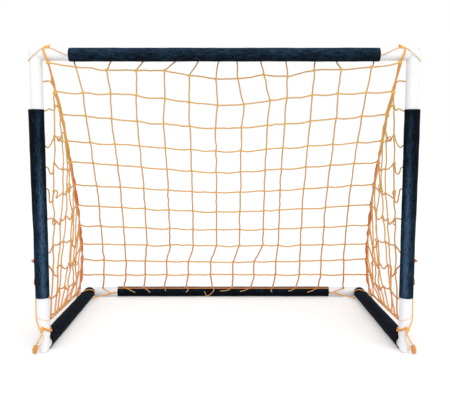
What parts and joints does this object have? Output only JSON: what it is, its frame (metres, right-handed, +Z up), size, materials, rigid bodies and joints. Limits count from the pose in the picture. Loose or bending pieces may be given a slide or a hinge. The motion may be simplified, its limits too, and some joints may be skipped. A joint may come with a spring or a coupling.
{
  "type": "coaching goal",
  "caption": "Small football goal: white tube frame in foam covers, a sloping knotted net on ropes, and spring buttons that lock the uprights on the ground frame.",
  "frame": {"origin": "on the floor, midway between the uprights and midway between the front uprights and the rear bar", "axes": "+X across the goal, +Y from the mouth to the rear bar, so that the mouth faces -Y, +Z up"},
  "size_m": [1.5544, 0.96, 1.2289],
  "materials": {
    "white_powder_coat": "satin powder coat",
    "navy_foam_cover": "dark navy coated fabric over foam, slightly creased",
    "orange_twine": "twisted knotted twine",
    "orange_rope": "twisted rope",
    "zinc_plated_steel": "zinc plated",
    "spring_steel": "bare spring steel"
  },
  "bodies": {
    "goal": {"arm_loop_left": "orange_rope", "arm_loop_right": "orange_rope", "button_spring_left": "spring_steel", "button_spring_right": "spring_steel", "corner_arm_left": "white_powder_coat", "corner_arm_right": "white_powder_coat", "corner_loop_left": "orange_twine", "corner_loop_right": "orange_twine", "crossbar": "white_powder_coat", "crossbar_cover": "navy_foam_cover", "foot_knot_left": "orange_rope", "foot_knot_right": "orange_rope", "foot_leg_left": "white_powder_coat", "foot_leg_right": "white_powder_coat", "foot_loop_left": "orange_rope", "foot_loop_right": "orange_rope", "foot_spigot_left": "white_powder_coat", "foot_spigot_right": "white_powder_coat", "ground_rope_left": "orange_rope", "ground_rope_right": "orange_rope", "head_cord_left": "orange_rope", "head_cord_right": "orange_rope", "head_rope": "orange_rope", "net_back": "orange_twine", "net_side_left": "orange_twine", "net_side_right": "orange_twine", "post_cord_left": "orange_rope", "post_cord_right": "orange_rope", "rear_band_left": "orange_rope", "rear_band_right": "orange_rope", "rear_bar": "white_powder_coat", "rear_bar_cover": "navy_foam_cover", "rear_lashing_left": "orange_rope", "rear_lashing_right": "orange_rope", "rear_rope": "orange_rope", "side_rail_cover_left": "navy_foam_cover", "side_rail_cover_right": "navy_foam_cover", "side_rail_left": "white_powder_coat", "side_rail_right": "white_powder_coat", "slope_rope_left": "orange_rope", "slope_rope_right": "orange_rope", "tail_knot_left": "orange_rope", "tail_knot_right": "orange_rope", "tie_tail_left": "orange_rope", "tie_tail_right": "orange_rope", "top_knot_left": "orange_rope", "top_knot_right": "orange_rope", "upright_cover_left": "navy_foam_cover", "upright_cover_right": "navy_foam_cover", "upright_left": "white_powder_coat", "upright_right": "white_powder_coat"},
    "left_button": {"spring_button_left": "zinc_plated_steel"},
    "right_button": {"spring_button_right": "zinc_plated_steel"}
  },
  "joints": [
    {"name": "left_button_press", "type": "slide", "parent": "goal", "child": "left_button", "axis": [-0.2588, 0.9659, 0], "range_m": [0, 0.0065], "stiffness_N_per_m": 600, "springref_m": -0.004, "deforming": ["button_spring_left"]},
    {"name": "right_button_press", "type": "slide", "parent": "goal", "child": "right_button", "axis": [0.2588, 0.9659, 0], "range_m": [0, 0.0065], "stiffness_N_per_m": 600, "springref_m": -0.004, "deforming": ["button_spring_right"]}
  ]
}
